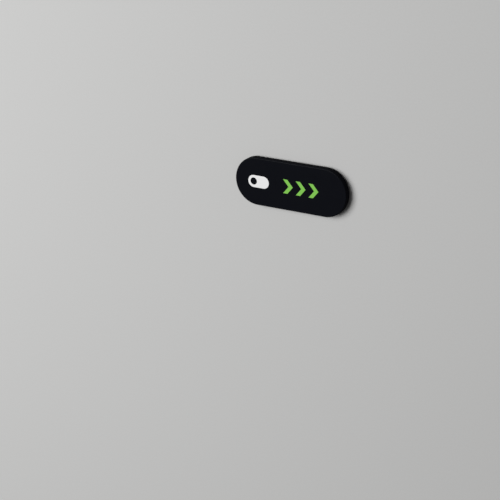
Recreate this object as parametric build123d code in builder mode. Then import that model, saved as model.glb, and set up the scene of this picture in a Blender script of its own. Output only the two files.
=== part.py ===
from build123d import *
import os

# Webcam cover slider: a pill-shaped cover that slides on the rails of an adhesive-backed base plate.
# Millimetres. Z = 0 is the sticky face, +Z points out of the front, and +X is the way the cover opens.

# Driving dimensions of the cover
cover_length = 28.0
cover_width = 11.0
plate_thickness = 0.65
skirt_thickness = 0.55
rim_radius = 0.25
skirt_chamfer = 0.12

# Driving dimensions of the base and its adhesive
adhesive_thickness = 0.20
adhesive_inset = 0.35
web_height = 0.50
rail_height = 0.36
rail_overhang = 0.45
rail_chamfer = 0.12
cap_radius = 0.15

# Camera window, a slot at the left end of the base
window_length = 7.8
window_width = 6.0
window_wall = 1.8
window_chamfer = 0.25
window_margin = 0.4

# Lips that hook under the rails
lip_height = 0.30
lip_chamfer = 0.15

# Stop peg, its groove and the detents
peg_length = 2.6
peg_width = 1.4
peg_height = 0.40
peg_chamfer = 0.10
groove_wall = 1.2
notch_from_end = 9.0
notch_radius = 0.30
notch_depth = 0.15
bump_radius = 0.20

# Clearances
side_gap = 0.10
running_gap = 0.06
lip_gap = 0.08
stop_gap = 0.05
groove_gap = 0.08
bump_gap = 0.03

# Heights above the sticky face
web_top = adhesive_thickness + web_height
base_top = web_top + rail_height
cover_under = base_top + running_gap
cover_top = cover_under + plate_thickness
lip_top = web_top - lip_gap
skirt_bottom = lip_top - lip_height
peg_bottom = cover_under - peg_height
groove_floor = peg_bottom - groove_gap

# Plan sizes: every pill outline has its round ends on the same two centres
end_spacing = cover_length - cover_width
left_end = -cover_length / 2
channel_width = cover_width - 2 * skirt_thickness
rail_width = channel_width - 2 * side_gap
web_width = rail_width - 2 * rail_overhang
skirt_start = -end_spacing / 2
shoulder = skirt_start - side_gap
window_middle = left_end + window_wall + window_length / 2
window_right = window_middle + window_length / 2
travel = window_wall + window_length + window_margin
peg_middle = window_right + groove_wall + stop_gap + peg_length / 2
groove_length = peg_length + travel + 2 * stop_gap
groove_width = peg_width + 2 * side_gap
groove_middle = peg_middle + travel / 2
closed_notch = left_end + notch_from_end
bump_height = side_gap - bump_gap
lip_tip = channel_width / 2 - rail_overhang
beyond = 2 * cover_length


def pill(width):
    # A pill outline of this width on the shared end centres.
    SlotOverall(end_spacing + width, width)


def end_cap(width, cut):
    # The left end of a pill outline of this width, cut off straight at this X.
    pill(width)
    with Locations((cut, 0)):
        Rectangle(beyond, beyond, align=(Align.MIN, Align.CENTER), mode=Mode.SUBTRACT)


# Base plate: a narrow web, two rails that overhang it, and a cap of full width at the left end
with BuildPart() as base_plate:
    with BuildSketch(Plane.XY.offset(adhesive_thickness)):
        end_cap(cover_width, shoulder)
    extrude(amount=base_top - adhesive_thickness)
    fillet(base_plate.edges().filter_by(GeomType.CIRCLE), radius=cap_radius)
    with BuildSketch(Plane.XY.offset(adhesive_thickness)):
        pill(web_width)
    extrude(amount=web_height)
    with BuildSketch(Plane.XY.offset(web_top)):
        pill(rail_width)
    extrude(amount=rail_height)
    rail_edges = base_plate.faces().sort_by(Axis.Z)[-1].edges()
    chamfer(rail_edges.filter_by_position(Axis.X, skirt_start, beyond), length=rail_chamfer)
    # camera window, opened out towards the front
    with BuildSketch(Plane.XY.offset(base_top)):
        with Locations((window_middle, 0)):
            SlotOverall(window_length, window_width)
    extrude(amount=-base_top, mode=Mode.SUBTRACT)
    window_edges = base_plate.faces().sort_by(Axis.Z)[-1].inner_wires()[0].edges()
    chamfer(window_edges, length=window_chamfer)
    # blind groove for the stop peg
    with BuildSketch(Plane.XY.offset(base_top)):
        with Locations((groove_middle, 0)):
            SlotOverall(groove_length, groove_width)
    extrude(amount=groove_floor - base_top, mode=Mode.SUBTRACT)
    # detent notches in both rails, where the cover's bumps stand when it is closed and open
    with BuildSketch(Plane.XY.offset(web_top)):
        for notch_x in (closed_notch, closed_notch + travel):
            for side in (-1, 1):
                with Locations((notch_x, side * (rail_width / 2 + notch_radius - notch_depth))):
                    Circle(notch_radius)
    extrude(amount=rail_height, mode=Mode.SUBTRACT)

# Slider cover: a plate with a rounded rim, and a skirt along the sides and the right end
with BuildPart() as slider_cover:
    with BuildSketch(Plane.XY.offset(skirt_bottom)):
        pill(cover_width)
    extrude(amount=cover_top - skirt_bottom)
    fillet(slider_cover.faces().sort_by(Axis.Z)[-1].edges(), radius=rim_radius)
    chamfer(slider_cover.faces().sort_by(Axis.Z)[0].edges(), length=skirt_chamfer)
    # channel for the base, open at the left end
    with BuildSketch(Plane.XY.offset(skirt_bottom)):
        pill(channel_width)
        with Locations((skirt_start, 0)):
            Rectangle(beyond, beyond, align=(Align.MAX, Align.CENTER))
    extrude(amount=cover_under - skirt_bottom, mode=Mode.SUBTRACT)
    # lips that reach under the rails, with lead-ins for snapping the cover on
    with BuildSketch(Plane.YZ):
        with BuildLine():
            Polyline(
                (channel_width / 2, skirt_bottom),
                (lip_tip + lip_chamfer, skirt_bottom),
                (lip_tip, skirt_bottom + lip_chamfer),
                (lip_tip, lip_top),
                (channel_width / 2, lip_top),
                close=True,
            )
        make_face()
        mirror(about=Plane.YZ)
    extrude(amount=end_spacing / 2, both=True)
    # stop peg
    with BuildSketch(Plane.XY.offset(peg_bottom)):
        with Locations((peg_middle, 0)):
            SlotOverall(peg_length, peg_width)
    extrude(amount=peg_height)
    peg_face = slider_cover.faces().filter_by(Axis.Z).sort_by_distance((peg_middle, 0, peg_bottom))[0]
    chamfer(peg_face.edges(), length=peg_chamfer)
    # detent bumps on the inside of the skirt
    with BuildSketch(Plane.XY.offset(web_top)):
        for side in (-1, 1):
            with Locations((closed_notch, side * (channel_width / 2 - bump_height + bump_radius))):
                Circle(bump_radius)
    extrude(amount=cover_under - web_top)

# Adhesive pad: double-sided tape, cut to the base's back with a margin, and open around the window
with BuildPart() as adhesive_pad:
    with BuildSketch():
        end_cap(cover_width - 2 * adhesive_inset, shoulder - adhesive_inset)
        pill(web_width - 2 * adhesive_inset)
        with Locations((window_middle, 0)):
            SlotOverall(
                window_length + 2 * adhesive_inset,
                window_width + 2 * adhesive_inset,
                mode=Mode.SUBTRACT,
            )
    extrude(amount=adhesive_thickness)

os.makedirs("parts", exist_ok=True)
for name, piece in (
    ("base_plate", base_plate),
    ("slider_cover", slider_cover),
    ("adhesive_pad", adhesive_pad),
):
    piece.part.label = name
    export_step(piece.part, f"parts/{name}.step")

print("travel", travel, "top", cover_top, "skirt bottom", skirt_bottom)
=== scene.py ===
import math

import bmesh
import bpy
import numpy as np
from mathutils import Matrix, Vector


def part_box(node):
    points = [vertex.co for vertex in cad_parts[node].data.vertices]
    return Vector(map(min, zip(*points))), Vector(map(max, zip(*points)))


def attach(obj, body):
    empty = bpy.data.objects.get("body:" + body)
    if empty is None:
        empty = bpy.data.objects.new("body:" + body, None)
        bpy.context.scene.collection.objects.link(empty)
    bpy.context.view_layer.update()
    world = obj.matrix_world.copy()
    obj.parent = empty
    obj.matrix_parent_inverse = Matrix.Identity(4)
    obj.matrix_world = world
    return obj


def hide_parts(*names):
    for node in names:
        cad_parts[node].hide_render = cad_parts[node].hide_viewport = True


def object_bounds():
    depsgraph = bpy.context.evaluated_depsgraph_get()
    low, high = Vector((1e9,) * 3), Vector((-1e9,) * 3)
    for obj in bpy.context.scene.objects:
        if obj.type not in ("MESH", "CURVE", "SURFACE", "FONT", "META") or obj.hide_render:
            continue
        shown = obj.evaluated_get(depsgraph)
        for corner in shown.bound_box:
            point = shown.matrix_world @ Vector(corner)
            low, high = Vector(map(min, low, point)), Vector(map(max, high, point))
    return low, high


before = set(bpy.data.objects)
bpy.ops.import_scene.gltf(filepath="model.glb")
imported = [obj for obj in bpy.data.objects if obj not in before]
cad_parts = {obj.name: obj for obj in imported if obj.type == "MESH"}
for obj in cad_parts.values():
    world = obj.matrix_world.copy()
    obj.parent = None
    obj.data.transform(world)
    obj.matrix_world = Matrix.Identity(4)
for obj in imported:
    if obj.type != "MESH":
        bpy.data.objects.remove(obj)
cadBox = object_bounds()
scene = bpy.context.scene
mm = 0.001      # values below are in millimetres unless they say otherwise
tiny = 1e-6     # guards a division, and is how near two cosines count as the same
print("frame loaded:", ", ".join(sorted(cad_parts)))


def boxInMm(node):
    low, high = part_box(node)
    return np.array(low) / mm, np.array(high) / mm


coverLow, coverHigh = boxInMm("slider_cover")
baseLow, baseHigh = boxInMm("base_plate")
tapeLow, tapeHigh = boxInMm("adhesive_pad")
coverHalf = coverHigh[1]                # half the pill's width
endCentre = coverHigh[0] - coverHalf    # where the round ends of every pill are centred, plus and minus
railHalf = baseHigh[0] - endCentre      # half the width over the rails
tapeHalf = tapeHigh[0] - endCentre      # half the width of the tape between its ends


meshing = {
    "weld": 0.0002,         # points nearer than this become one
    "flatSlack": 0.001,     # how far an open edge may lie from the flat face it bounds
    "sharpAngle": 32,       # degrees between two faces, above which their edge stays sharp
    "ringArcSteps": 33,     # stations on each round end of a window, a groove or a slot mark
    "ringSideSteps": 9,
}


# Angles of half a turn from begin, in degrees, left short by lead at both ends.
def halfTurn(steps, lead=0.0, begin=-90.0):
    return np.radians(np.linspace(begin + lead, begin + 180 - lead, steps))


# Way round a pill, counter-clockwise from the right end: right arc, far side, left arc, near side.
# A station is its place along the spine, from -1 to 1, and the angle it looks outwards at.
def pillStations(straight, rightArc, leftArc):
    along = np.concatenate([np.ones_like(rightArc), straight, -np.ones_like(leftArc), straight[::-1]])
    angle = np.concatenate([rightArc, np.full_like(straight, math.pi / 2), leftArc,
                            np.full_like(straight, -math.pi / 2)])
    return along, angle


ringPath = pillStations(np.linspace(1, -1, meshing["ringSideSteps"])[1:-1], halfTurn(meshing["ringArcSteps"]),
                        halfTurn(meshing["ringArcSteps"], begin=90))


# Each corner of a profile becomes an arc of its radius: a rational quadratic from the cut before the corner
# to the cut after it, with the corner as control point and the sine of half its angle as weight.
def roundCorners(corners, radii, steps):
    def unit(v):
        return v / np.maximum(np.linalg.norm(v, axis=-1, keepdims=True), tiny)
    back = unit(np.roll(corners, 1, axis=1) - corners)
    ahead = unit(np.roll(corners, -1, axis=1) - corners)
    half = 0.5 * np.arccos(np.clip((back * ahead).sum(-1), -1, 1))
    cut = np.where(radii > 0, radii / np.maximum(np.tan(half), tiny), 0)[..., None]
    first, last = corners + back * cut, corners + ahead * cut
    t = np.linspace(0, 1, steps)[:, None]
    weight = np.sin(half)[..., None, None]
    a, b, c = (1 - t) ** 2, 2 * weight * t * (1 - t), t ** 2
    arcs = (a * first[:, :, None] + b * corners[:, :, None] + c * last[:, :, None]) / (a + b + c)
    return arcs.reshape(len(corners), -1, 2)


# Profile carried round a pill: a point at half-width h and height z stands h out from the pill's spine.
# corners is stations by corners by (h, z), middles and halves give each corner's own spine.
def carryProfile(path, corners, radii, middles, halves, steps):
    along, angle = path
    profile = roundCorners(corners, radii, steps)
    middle, half = np.repeat(middles, steps), np.repeat(halves, steps)
    x = middle + along[:, None] * half + profile[..., 0] * np.cos(angle)[:, None]
    y = profile[..., 0] * np.sin(angle)[:, None]
    return np.stack([x, y, profile[..., 1]], -1)


# One profile carried unchanged round a small pill. The spine is one for all corners, or one for each.
def carryRing(middles, halves, profile, rounds, steps):
    corners = np.broadcast_to(np.array(profile), (len(ringPath[0]), len(profile), 2))
    radii = np.broadcast_to(np.array(rounds), corners.shape[:2])
    middles, halves = np.full(len(profile), middles), np.full(len(profile), halves)
    return carryProfile(ringPath, corners, radii, middles, halves, steps)


# Height of a round bump or notch of this radius at distance x from its middle, where it stands out by peak.
def roundBulge(x, radius, peak):
    return np.maximum(np.sqrt(np.maximum(radius ** 2 - x ** 2, 0)) - (radius - peak), 0)


# Grids that close on themselves round the pill become one mesh, and the open loops at each flat height
# are filled.
def buildPiece(name, grids, flats=()):
    points, faces, start = [], [], 0
    for grid in grids:
        index = start + np.arange(grid[..., 0].size).reshape(grid.shape[:2])
        after = np.roll(index, -1, axis=0)
        points.append(grid.reshape(-1, 3) * mm)
        faces.append(np.stack([index[:, :-1], after[:, :-1], after[:, 1:], index[:, 1:]], -1).reshape(-1, 4))
        start += index.size
    mesh = bpy.data.meshes.new(name)
    mesh.from_pydata(np.concatenate(points).tolist(), [], np.concatenate(faces).tolist())
    work = bmesh.new()
    work.from_mesh(mesh)
    bmesh.ops.remove_doubles(work, verts=work.verts, dist=meshing["weld"] * mm)
    for height in flats:
        rim = [e for e in work.edges if e.is_boundary
               and all(abs(v.co.z / mm - height) < meshing["flatSlack"] for v in e.verts)]
        bmesh.ops.triangle_fill(work, edges=rim, use_beauty=True)
    bmesh.ops.recalc_face_normals(work, faces=work.faces)
    openEdges = sum(not e.is_manifold for e in work.edges)
    work.to_mesh(mesh)
    work.free()
    mesh.shade_smooth()
    mesh.set_sharp_from_angle(angle=math.radians(meshing["sharpAngle"]))
    piece = bpy.data.objects.new(name, mesh)
    scene.collection.objects.link(piece)
    print(name, "built:", len(mesh.polygons), "faces,", openEdges, "open edges")
    return piece


cover = {
    "rimRadius": 0.25,      # round front edge
    "skirt": 0.55,          # wall of the skirt
    "plate": 0.65,          # thickness of the front plate
    "footChamfer": 0.12,
    "lipReach": 0.45,
    "lipHeight": 0.30,
    "lipChamfer": 0.15,
    "railGap": 0.08,        # from the lip's top to the rail
    "softEdge": 0.05,       # what the mould leaves on every other edge
    "bumpAt": -5.0,
    "bumpRadius": 0.20,
    "bumpHeight": 0.07,
    "bumpReach": 0.17,      # stations crowd this far to both sides of the bump
    "bumpSteps": 13,
    "pegAt": -1.85,
    "pegLength": 2.6,
    "pegWidth": 1.4,
    "pegHeight": 0.40,
    "pegChamfer": 0.10,
    "rimSupport": 0.1,      # an extra line beside the rim keeps the face's shading flat
    "arcSteps": 65,
    "sideSteps": 41,
    "edgeSteps": 9,
    "fold": 0.03,           # length over which the skirt and the lips begin
}


# Cover: one profile from the top of the spine over the rim, down the skirt, round the lip, up to the
# underside and down the stop peg. Skirt and lip are switched on along the way, so the left end is bare plate.
def makeCover():
    c = cover
    top, foot, under = coverHigh[2], coverLow[2], coverHigh[2] - c["plate"]
    channel = coverHalf - c["skirt"]
    tip = channel - c["lipReach"]
    lipTop = foot + c["lipHeight"]
    railFoot = lipTop + c["railGap"]
    pegHalf, pegFoot = c["pegWidth"] / 2, under - c["pegHeight"]
    pegSpine = (c["pegLength"] - c["pegWidth"]) / 2
    edge, support = c["softEdge"], c["rimSupport"]

    fold = c["fold"] / endCentre
    bumpSides = (c["bumpAt"] + np.linspace(-c["bumpReach"], c["bumpReach"], c["bumpSteps"])) / endCentre
    sides = np.concatenate([np.linspace(1 - fold, fold - 1, c["sideSteps"]), [-1], bumpSides])
    leftArc = halfTurn(c["arcSteps"], math.degrees(c["fold"] / coverHalf), 90)
    path = pillStations(np.unique(sides)[::-1], halfTurn(c["arcSteps"]), leftArc)
    along, angle = path
    onSide = np.abs(np.cos(angle)) < tiny
    onSkirt = (along > -1) | onSide
    onLip = onSide & (np.abs(along) < 1)
    bump = np.where(onSide, roundBulge(along * endCentre - c["bumpAt"], c["bumpRadius"], c["bumpHeight"]), 0)

    rim = [(0, top), (coverHalf - c["rimRadius"] - support, top), (coverHalf, top),
           (coverHalf, top - c["rimRadius"] - support / 2)]
    plateEdge = [(coverHalf, under + edge), (coverHalf - edge, under)]
    skirtEdge = [(coverHalf, foot + c["footChamfer"]), (coverHalf - c["footChamfer"], foot)]
    plainFoot = [(channel, foot), (channel, foot + c["lipChamfer"]), (channel, lipTop), (channel, lipTop)]
    lipFoot = [(tip + c["lipChamfer"], foot), (tip, foot + c["lipChamfer"]), (tip, lipTop), (channel, lipTop)]
    inner = [(channel, railFoot), (channel, railFoot), (channel, under)]
    peg = [(pegHalf, under), (pegHalf, pegFoot + c["pegChamfer"]), (pegHalf - c["pegChamfer"], pegFoot),
           (0, pegFoot)]
    bare = rim + plateEdge + [(channel, under)] * len(plainFoot + inner) + peg
    skirt = rim + skirtEdge + plainFoot + inner + peg
    lip = rim + skirtEdge + lipFoot + inner + peg

    # places in the profile: the rim's corner, the first of the edge's, of the foot's and of the peg's
    rimCorner, edgeFrom = 2, len(rim)
    footFrom, pegFrom = edgeFrom + len(skirtEdge), len(lip) - len(peg)
    corners = np.where(onLip[:, None, None], lip, np.where(onSkirt[:, None, None], skirt, bare))
    corners[:, pegFrom - 2:pegFrom, 0] -= (bump * onSkirt)[:, None]     # the wall above the rail's foot
    bareRound, skirtRound, lipRound = np.zeros((3, len(lip)))
    bareRound[edgeFrom:footFrom] = edge / 2
    skirtRound[edgeFrom:footFrom + 1] = edge
    lipRound[edgeFrom:footFrom + 3] = edge
    radii = np.where(onLip[:, None], lipRound, np.where(onSkirt[:, None], skirtRound, bareRound))
    radii[:, rimCorner] = c["rimRadius"]

    onPeg = np.arange(len(lip)) >= pegFrom
    middles, halves = np.where(onPeg, c["pegAt"], 0), np.where(onPeg, pegSpine, endCentre)
    return buildPiece("cover", [carryProfile(path, corners, radii, middles, halves, c["edgeSteps"])])


base = {
    "overhang": 0.45,       # how far the rails stand out over the web
    "railHeight": 0.36,
    "railChamfer": 0.12,
    "capRound": 0.15,
    "softEdge": 0.04,
    "shoulderGap": 0.10,    # from the shoulder to the cover's skirt
    "windowWall": 1.8,
    "windowLength": 7.8,
    "windowWidth": 6.0,
    "windowChamfer": 0.25,
    "grooveAt": 3.15,
    "grooveLength": 12.7,
    "grooveWidth": 1.6,
    "grooveDepth": 0.42,
    "notchesAt": (-5.0, 5.0),
    "notchRadius": 0.30,
    "notchDepth": 0.15,
    "notchReach": 0.29,     # stations crowd this far to both sides of a notch
    "notchSteps": 19,
    "flatInset": 0.3,       # where the flat faces begin, in from the outline
    "ringInset": 0.1,       # and out from the window and the groove
    "edgeSteps": 5,
    "arcSteps": 57,
    "sideSteps": 25,
    "fold": 0.03,           # length over which the cap begins
}
windowAt = coverLow[0] + base["windowWall"] + base["windowLength"] / 2
windowSpine = (base["windowLength"] - base["windowWidth"]) / 2


# Base plate: a wall carried round the web and rails, with the full-width cap switched on at the left end,
# a wall round the window and one round the groove. The flat faces between those walls are filled.
def makeBase():
    b = base
    low, top = baseLow[2], baseHigh[2]
    web, railFoot = railHalf - b["overhang"], top - b["railHeight"]
    edge, inset, ringInset = b["softEdge"], b["flatInset"], b["ringInset"]

    lead, fold = math.degrees(b["shoulderGap"] / coverHalf), b["fold"] / coverHalf
    capArc = halfTurn(b["arcSteps"], lead, 90)
    leftArc = np.concatenate([[capArc[0] - fold], capArc, [capArc[-1] + fold]])
    notches = np.array(b["notchesAt"])
    reach = np.linspace(-b["notchReach"], b["notchReach"], b["notchSteps"])
    notchSides = ((notches[:, None] + reach) / endCentre).ravel()
    sides = np.concatenate([np.linspace(1, -1, b["sideSteps"])[1:], notchSides])
    path = pillStations(np.unique(sides)[::-1], halfTurn(b["arcSteps"]), leftArc)
    along, angle = path
    onCap = np.cos(angle) <= np.cos(capArc[0]) + tiny
    onSide = np.abs(np.cos(angle)) < tiny
    fromNotch = np.abs(along[:, None] * endCentre - notches).min(1)
    notch = np.where(onSide, roundBulge(fromNotch, b["notchRadius"], b["notchDepth"]), 0)

    rail = [(web - inset, low), (web, low), (web, railFoot), (railHalf, railFoot),
            (railHalf, top - b["railChamfer"]), (railHalf - b["railChamfer"], top), (railHalf - inset, top)]
    cap = [(coverHalf - inset, low), (coverHalf, low), (coverHalf, railFoot), (coverHalf, railFoot),
           (coverHalf, top - inset), (coverHalf, top), (coverHalf - inset, top)]
    corners = np.where(onCap[:, None, None], cap, rail)
    railFace = slice(3, 6)      # the corners of the rail that a notch pushes in
    corners[:, railFace, 0] -= notch[:, None]
    railRound = np.array([0, edge, 0, edge, edge, edge, 0])
    capRound = np.array([0, b["capRound"], 0, 0, 0, b["capRound"], 0])
    radii = np.where(onCap[:, None], capRound, railRound)
    outside = carryProfile(path, corners, radii, np.zeros(len(rail)), np.full(len(rail), endCentre),
                           b["edgeSteps"])

    window, wide = b["windowWidth"] / 2, b["windowWidth"] / 2 + b["windowChamfer"]
    windowWall = carryRing(windowAt, windowSpine,
                           [(window + ringInset, low), (window, low), (window, top - b["windowChamfer"]),
                            (wide, top), (wide + ringInset, top)],
                           [0, edge, edge, edge, 0], b["edgeSteps"])
    groove, grooveFloor = b["grooveWidth"] / 2, top - b["grooveDepth"]
    grooveWall = carryRing(b["grooveAt"], (b["grooveLength"] - b["grooveWidth"]) / 2,
                           [(groove + ringInset, top), (groove, top), (groove, grooveFloor),
                            (groove - ringInset, grooveFloor), (0, grooveFloor)],
                           [0, edge, edge, 0, 0], b["edgeSteps"])
    return buildPiece("basePlate", [outside, windowWall, grooveWall], flats=(low, top))


tape = {
    "inset": 0.35,          # margin to the base's edge
    "bulge": 0.03,          # how far the pressed foam swells at mid height
    "bulgeRound": 0.15,
    "flatInset": 8,         # where the flat faces begin, in bulges
    "softEdge": 0.03,
    "edgeSteps": 4,
    "arcSteps": 57,
    "sideSteps": 25,
    "fold": 0.4,            # degrees over which the wide end begins
}


# Tape: a wall that swells at mid height round the outline, the same round the window, flat faces between.
def makeTape():
    t = tape
    low, top = tapeLow[2], tapeHigh[2]
    middle, edge = (low + top) / 2, t["softEdge"]
    wide = coverHalf - t["inset"]
    lead, fold = math.degrees((base["shoulderGap"] + t["inset"]) / wide), math.radians(t["fold"])
    capArc = halfTurn(t["arcSteps"], lead, 90)
    leftArc = np.concatenate([np.radians([90 + lead / 2]), [capArc[0] - fold], capArc, [capArc[-1] + fold],
                              np.radians([270 - lead / 2])])
    path = pillStations(np.linspace(1, -1, t["sideSteps"])[1:], halfTurn(t["arcSteps"]), leftArc)
    onCap = np.cos(path[1]) <= np.cos(capArc[0]) + tiny

    def wall(half, swell):
        flat = half - t["flatInset"] * swell
        return [(flat, low), (half - swell, low), (half, middle), (half - swell, top), (flat, top)]

    rounds = [0, edge, t["bulgeRound"], edge, 0]
    corners = np.where(onCap[:, None, None], wall(wide, t["bulge"]), wall(tapeHalf, t["bulge"]))
    radii = np.broadcast_to(np.array(rounds), corners.shape[:2])
    outside = carryProfile(path, corners, radii, np.zeros(len(rounds)), np.full(len(rounds), endCentre),
                           t["edgeSteps"])
    inside = carryRing(windowAt, windowSpine, wall(base["windowWidth"] / 2 + t["inset"], -t["bulge"]), rounds,
                       t["edgeSteps"])
    return buildPiece("tape", [outside, inside], flats=(low, top))


pieces = {"cover": makeCover(), "base": makeBase(), "tape": makeTape()}
for name, body, node, slot in (("cover", "slider", "slider_cover", "cover_plastic"),
                               ("base", "base", "base_plate", "base_plastic"),
                               ("tape", "base", "adhesive_pad", "adhesive_tape")):
    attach(pieces[name], body)
    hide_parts(node)


marks = {
    "inkHeight": 0.015,     # how far the print stands up from the face
    "sink": 0.02,           # how far it goes down into it
    "softEdge": 0.02,
    "flatInset": 0.08,      # an extra line beside the soft edge keeps the ink's shading flat
    "edgeSteps": 4,
    "slotAt": -8.0,
    "slotLength": 5.3,
    "slotWidth": 2.8,
    "holeRadius": 0.82,
    "chevronsAt": (0.2, 3.4, 6.6),
    "chevronReach": 1.6,    # half its height
    "chevronSlope": 0.85,   # how far an end lies behind the tip, per unit of height
    "chevronWidth": 1.1,
    "chevronSteps": 31,
}
inkLow, inkTop = coverHigh[2] - marks["sink"], coverHigh[2] + marks["inkHeight"]


# Slot mark: a pill with a round hole in its left end, as one profile from the hole's foot up and over to
# the pill's outline and back underneath. The hole's spine is a point, the pill's is its own.
def makeSlotMark():
    m = marks
    edge, flat = m["softEdge"], m["flatInset"]
    hole, half, halfSpine = m["holeRadius"], m["slotWidth"] / 2, (m["slotLength"] - m["slotWidth"]) / 2
    profile = [(hole, inkLow), (hole, inkTop), (hole + flat, inkTop), (half - flat, inkTop), (half, inkTop),
               (half, inkLow), (hole, inkLow)]
    rounds = [0, edge, 0, 0, edge, 0, 0]
    point, line = (m["slotAt"] - halfSpine, 0.0), (m["slotAt"], halfSpine)
    middles, halves = np.array([point, point, point, line, line, line, point]).T
    return buildPiece("printSlot", [carryRing(middles, halves, profile, rounds, m["edgeSteps"])])


# Chevron: a loop round a flat bar, wide along x, carried up a line that falls behind its tip by the slope
# times the height. The first and the last station shrink to the line, which closes the ends.
def makeChevron(tip, name):
    m = marks
    edge, half = m["softEdge"], m["chevronWidth"] / 2
    flat = half - m["flatInset"]
    corners = np.array([[(half, inkLow), (half, inkTop), (flat, inkTop), (-flat, inkTop), (-half, inkTop),
                         (-half, inkLow)]])
    across, height = roundCorners(corners, np.array([[0, edge, 0, 0, edge, 0]]), m["edgeSteps"])[0].T
    y = m["chevronReach"] * np.linspace(-1, 1, m["chevronSteps"])
    y = np.concatenate([y[:1], y, y[-1:]])
    size = np.ones_like(y)
    size[[0, -1]] = 0
    middle = (height.max() + height.min()) / 2
    x = tip - m["chevronSlope"] * np.abs(y) + across[:, None] * size
    z = middle + (height[:, None] - middle) * size
    return buildPiece(name, [np.stack([x, np.broadcast_to(y, x.shape), z], -1)])


whiteMarks = [makeSlotMark()]
limeMarks = [makeChevron(tip, "printChevron" + str(i + 1)) for i, tip in enumerate(marks["chevronsAt"])]
for piece in whiteMarks + limeMarks:
    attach(piece, "slider")
print("print made:", len(whiteMarks + limeMarks), "marks")


# Small helpers for node trees: a node with its values set, a group with its sockets, a material's shader.
mixA, mixB, mixOut = 6, 7, 2    # colour sockets of a Mix node


def addNode(tree, kind, values=None, **settings):
    node = tree.nodes.new(kind)
    for name, value in settings.items():
        setattr(node, name, value)
    for name, value in (values or {}).items():
        node.inputs[name].default_value = value
    return node


def newGroup(name, inputs, outputs):
    group = bpy.data.node_groups.new(name, "ShaderNodeTree")
    for label, kind, value in inputs:
        group.interface.new_socket(label, in_out="INPUT", socket_type=kind).default_value = value
    for label, kind in outputs:
        group.interface.new_socket(label, in_out="OUTPUT", socket_type=kind)
    return group, group.nodes.new("NodeGroupInput"), group.nodes.new("NodeGroupOutput")


def newMaterial(name, specular):
    material = bpy.data.materials.new(name)
    material.use_nodes = True
    shader = material.node_tree.nodes["Principled BSDF"]
    shader.inputs["Specular IOR Level"].default_value = specular
    return material, material.node_tree, shader


plastic = {
    "coverTone": (0.0050, 0.0055, 0.0077),
    "baseTone": (0.0050, 0.0050, 0.0060),
    "coverRoughness": 0.20,
    "baseRoughness": 0.42,
    "wallRoughness": 0.7,
    "coverSpecular": 0.02,
    "baseSpecular": 0.12,
    "grainDepth": 0.008,    # height of the grain
    "grainStrength": 0.5,
    "grainShare": 0.6,      # fine grain's height beside the pits'
    "pits": {"Scale": 7000, "Randomness": 1},       # scales are per metre
    "grain": {"Scale": 14000, "Detail": 3, "Roughness": 0.6},
    "patches": {"Scale": 420, "Detail": 3, "Roughness": 0.55},
    "patchGloss": {"From Min": 0.3, "From Max": 0.7, "To Min": -0.02, "To Max": 0.02},  # on the roughness
    "grainShade": {"From Min": 0.3, "From Max": 0.7, "To Min": 0.8, "To Max": 1.2},     # times the tone
    "wallToFace": {"From Min": 0.1, "From Max": 0.9},   # by the height of the normal
}


# Spark-eroded skin of moulded plastic: shallow round pits, finer grain between them, slow patches where
# the skin is a little glossier, and walls that are rougher than what looks up.
def mouldSkinGroup():
    p = plastic
    group, given, made = newGroup("mouldSkin",
                                  [("Tone", "NodeSocketColor", (*p["coverTone"], 1)),
                                   ("Face Roughness", "NodeSocketFloat", p["coverRoughness"]),
                                   ("Wall Roughness", "NodeSocketFloat", p["wallRoughness"])],
                                  [("Colour", "NodeSocketColor"), ("Roughness", "NodeSocketFloat"),
                                   ("Height", "NodeSocketFloat")])
    link = group.links.new
    place = addNode(group, "ShaderNodeTexCoord")
    pits = addNode(group, "ShaderNodeTexVoronoi", p["pits"], feature="SMOOTH_F1")
    grain = addNode(group, "ShaderNodeTexNoise", p["grain"])
    patches = addNode(group, "ShaderNodeTexNoise", p["patches"])
    for texture in (pits, grain, patches):
        link(place.outputs["Object"], texture.inputs["Vector"])
    height = addNode(group, "ShaderNodeMath", {1: p["grainShare"]}, operation="MULTIPLY_ADD")
    link(grain.outputs["Fac"], height.inputs[0])
    link(pits.outputs["Distance"], height.inputs[2])
    link(height.outputs[0], made.inputs["Height"])
    gloss = addNode(group, "ShaderNodeMapRange", p["patchGloss"])
    link(patches.outputs["Fac"], gloss.inputs["Value"])
    looking = addNode(group, "ShaderNodeSeparateXYZ")
    link(place.outputs["Normal"], looking.inputs[0])
    faceOrWall = addNode(group, "ShaderNodeMapRange", p["wallToFace"])
    link(looking.outputs["Z"], faceOrWall.inputs["Value"])
    link(given.outputs["Wall Roughness"], faceOrWall.inputs["To Min"])
    link(given.outputs["Face Roughness"], faceOrWall.inputs["To Max"])
    rough = addNode(group, "ShaderNodeMath", operation="ADD")
    link(faceOrWall.outputs[0], rough.inputs[0])
    link(gloss.outputs[0], rough.inputs[1])
    link(rough.outputs[0], made.inputs["Roughness"])
    shade = addNode(group, "ShaderNodeMapRange", p["grainShade"])
    link(grain.outputs["Fac"], shade.inputs["Value"])
    tint = addNode(group, "ShaderNodeMix", {"Factor": 1}, data_type="RGBA", blend_type="MULTIPLY")
    link(given.outputs["Tone"], tint.inputs[mixA])
    link(shade.outputs[0], tint.inputs[mixB])
    link(tint.outputs[mixOut], made.inputs["Colour"])
    return group


mouldSkin = mouldSkinGroup()


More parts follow.
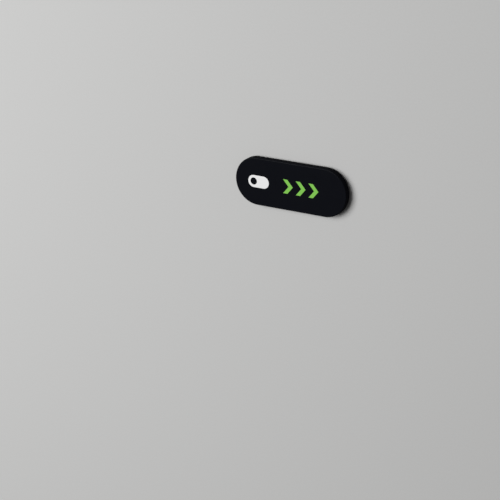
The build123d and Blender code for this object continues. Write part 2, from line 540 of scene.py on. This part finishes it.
def plasticMaterial(piece):
    p = plastic
    material, tree, shader = newMaterial(piece + "Plastic", p[piece + "Specular"])
    skin = addNode(tree, "ShaderNodeGroup", node_tree=mouldSkin)
    skin.inputs["Tone"].default_value = (*p[piece + "Tone"], 1)
    skin.inputs["Face Roughness"].default_value = p[piece + "Roughness"]
    skin.inputs["Wall Roughness"].default_value = p["wallRoughness"]
    bump = addNode(tree, "ShaderNodeBump", {"Strength": p["grainStrength"], "Distance": p["grainDepth"] * mm})
    tree.links.new(skin.outputs["Colour"], shader.inputs["Base Color"])
    tree.links.new(skin.outputs["Roughness"], shader.inputs["Roughness"])
    tree.links.new(skin.outputs["Height"], bump.inputs["Height"])
    tree.links.new(bump.outputs["Normal"], shader.inputs["Normal"])
    return material


foam = {
    "tone": (0.58, 0.57, 0.52),
    # painted shade: the darker tone laid in the pit of each cell
    "pitShadeTone": (0.40, 0.39, 0.35),
    "roughness": {"To Min": 0.30, "To Max": 0.46},
    "specular": 0.4,
    "cells": {"Scale": 5200},
    "cellEdge": {"From Min": 0.1, "From Max": 0.45},
    "cellDepth": 0.006,
    "cellStrength": 0.5,
    "cloud": {"Scale": 900, "Detail": 4},
}


# Acrylic foam: milky, with small cells sunk in as pits, and painted shade that darkens each pit.
def foamMaterial():
    f = foam
    material, tree, shader = newMaterial("acrylicFoam", f["specular"])
    place = addNode(tree, "ShaderNodeTexCoord")
    cells = addNode(tree, "ShaderNodeTexVoronoi", f["cells"])
    cloud = addNode(tree, "ShaderNodeTexNoise", f["cloud"])
    tree.links.new(place.outputs["Object"], cells.inputs["Vector"])
    tree.links.new(place.outputs["Object"], cloud.inputs["Vector"])
    mask = addNode(tree, "ShaderNodeMapRange", f["cellEdge"])
    tree.links.new(cells.outputs["Distance"], mask.inputs["Value"])
    # where the mask is low the bump sinks into a pit, and the pit gets the darker tone as painted shade
    tint = addNode(tree, "ShaderNodeMix", data_type="RGBA")
    tint.inputs[mixA].default_value = (*f["pitShadeTone"], 1)
    tint.inputs[mixB].default_value = (*f["tone"], 1)
    tree.links.new(mask.outputs[0], tint.inputs["Factor"])
    tree.links.new(tint.outputs[mixOut], shader.inputs["Base Color"])
    rough = addNode(tree, "ShaderNodeMapRange", f["roughness"])
    tree.links.new(cloud.outputs["Fac"], rough.inputs["Value"])
    tree.links.new(rough.outputs[0], shader.inputs["Roughness"])
    bump = addNode(tree, "ShaderNodeBump", {"Strength": f["cellStrength"], "Distance": f["cellDepth"] * mm})
    tree.links.new(mask.outputs[0], bump.inputs["Height"])
    tree.links.new(bump.outputs["Normal"], shader.inputs["Normal"])
    return material


ink = {
    "white": (0.80, 0.80, 0.80),
    "lime": (0.19, 0.53, 0.055),
    "roughness": 0.45,
    "specular": 0.4,
    "mottle": {"Scale": 5000, "Detail": 4, "Roughness": 0.6},
    "film": {"From Min": 0.25, "From Max": 0.6, "To Min": 0.93, "To Max": 1},   # times the tone
    "mottleDepth": 0.002,
    "mottleStrength": 0.4,
}


# Pad-printed ink: the colour mottles a little where the film is thinner.
def inkFilmGroup():
    group, given, made = newGroup("inkFilm",
                                  [("Tone", "NodeSocketColor", (*ink["white"], 1))],
                                  [("Colour", "NodeSocketColor"), ("Height", "NodeSocketFloat")])
    place = addNode(group, "ShaderNodeTexCoord")
    mottle = addNode(group, "ShaderNodeTexNoise", ink["mottle"])
    group.links.new(place.outputs["Object"], mottle.inputs["Vector"])
    film = addNode(group, "ShaderNodeMapRange", ink["film"])
    group.links.new(mottle.outputs["Fac"], film.inputs["Value"])
    tint = addNode(group, "ShaderNodeMix", {"Factor": 1}, data_type="RGBA", blend_type="MULTIPLY")
    group.links.new(given.outputs["Tone"], tint.inputs[mixA])
    group.links.new(film.outputs[0], tint.inputs[mixB])
    group.links.new(tint.outputs[mixOut], made.inputs["Colour"])
    group.links.new(mottle.outputs["Fac"], made.inputs["Height"])
    return group


inkFilm = inkFilmGroup()


def inkMaterial(colour):
    material, tree, shader = newMaterial(colour + "Ink", ink["specular"])
    film = addNode(tree, "ShaderNodeGroup", node_tree=inkFilm)
    film.inputs["Tone"].default_value = (*ink[colour], 1)
    shader.inputs["Roughness"].default_value = ink["roughness"]
    bump = addNode(tree, "ShaderNodeBump", {"Strength": ink["mottleStrength"],
                                            "Distance": ink["mottleDepth"] * mm})
    tree.links.new(film.outputs["Colour"], shader.inputs["Base Color"])
    tree.links.new(film.outputs["Height"], bump.inputs["Height"])
    tree.links.new(bump.outputs["Normal"], shader.inputs["Normal"])
    return material


def dress(objects, material):
    for obj in objects:
        obj.data.materials.append(material)


dress([pieces["cover"]], plasticMaterial("cover"))
dress([pieces["base"]], plasticMaterial("base"))
dress([pieces["tape"]], foamMaterial())
dress(whiteMarks, inkMaterial("white"))
dress(limeMarks, inkMaterial("lime"))
print("materials made:", len(bpy.data.materials))


studio = {
    "floorTone": (0.53, 0.53, 0.525),
    "floorSpread": 0.03,    # how far the grain moves the tone, up and down
    "floorGrain": {"Scale": 2500, "Detail": 2},
    "floorRoughness": 0.8,
    "floorSpecular": 0.2,
    "floorReach": 2000,
    "skyStrength": 0.09,
    "keyPlace": (-288, 125, 508),
    "keySize": 430,
    "keyWatts": 4.25,
}


# Floor: one plain pale sheet with a faint grain.
def makeFloor():
    s = studio
    reach = s["floorReach"] * mm
    mesh = bpy.data.meshes.new("floor")
    mesh.from_pydata([(-reach, -reach, 0), (reach, -reach, 0), (reach, reach, 0), (-reach, reach, 0)], [],
                     [(0, 1, 2, 3)])
    obj = bpy.data.objects.new("floor", mesh)
    scene.collection.objects.link(obj)
    material, tree, shader = newMaterial("floor", s["floorSpecular"])
    place = addNode(tree, "ShaderNodeTexCoord")
    grain = addNode(tree, "ShaderNodeTexNoise", s["floorGrain"])
    shade = addNode(tree, "ShaderNodeMix", data_type="RGBA")
    shade.inputs[mixA].default_value = (*((1 - s["floorSpread"]) * t for t in s["floorTone"]), 1)
    shade.inputs[mixB].default_value = (*((1 + s["floorSpread"]) * t for t in s["floorTone"]), 1)
    shader.inputs["Roughness"].default_value = s["floorRoughness"]
    tree.links.new(place.outputs["Object"], grain.inputs["Vector"])
    tree.links.new(grain.outputs["Fac"], shade.inputs["Factor"])
    tree.links.new(shade.outputs[mixOut], shader.inputs["Base Color"])
    mesh.materials.append(material)


# One soft square lamp that faces the middle of the part, and an even white sky.
def makeLight():
    data = bpy.data.lights.new("key", "AREA")
    data.energy = studio["keyWatts"]
    data.size = studio["keySize"] * mm
    light = bpy.data.objects.new("key", data)
    place = Vector(studio["keyPlace"]) * mm
    light.matrix_world = Matrix.Translation(place) @ (-place).to_track_quat("-Z", "Y").to_matrix().to_4x4()
    scene.collection.objects.link(light)
    scene.world = bpy.data.worlds.new("studio")
    scene.world.use_nodes = True
    sky = scene.world.node_tree.nodes["Background"]
    sky.inputs["Color"].default_value = (1, 1, 1, 1)
    sky.inputs["Strength"].default_value = studio["skyStrength"]


makeFloor()
makeLight()
scene.view_settings.view_transform = "Standard"
print("studio set")


camera = {
    "lens": 109.15,
    "distance": 330.7,      # from the middle of the face
    "azimuth": 123.24,      # angles are in degrees
    "elevation": 54.59,
    "roll": -120.71,
    "aim": (-10.67, -16.58),    # where the middle of the picture falls on the face's plane
    "clip": (10, 10000),
}


def placeCamera():
    c = camera
    face = cadBox[1].z
    turn, rise = math.radians(c["azimuth"]), math.radians(c["elevation"])
    away = Vector((math.sin(turn) * math.cos(rise), -math.cos(turn) * math.cos(rise), math.sin(rise)))
    place = Vector((0, 0, face)) + away * c["distance"] * mm
    aim = Vector((c["aim"][0] * mm, c["aim"][1] * mm, face))
    look = (aim - place).to_track_quat("-Z", "Y").to_matrix()
    look = look @ Matrix.Rotation(math.radians(c["roll"]), 3, "Z")
    data = bpy.data.cameras.new("camera")
    data.lens = c["lens"]
    data.clip_start, data.clip_end = c["clip"][0] * mm, c["clip"][1] * mm
    obj = bpy.data.objects.new("camera", data)
    obj.matrix_world = Matrix.Translation(place) @ look.to_4x4()
    scene.collection.objects.link(obj)
    scene.camera = obj


placeCamera()
print("camera placed")
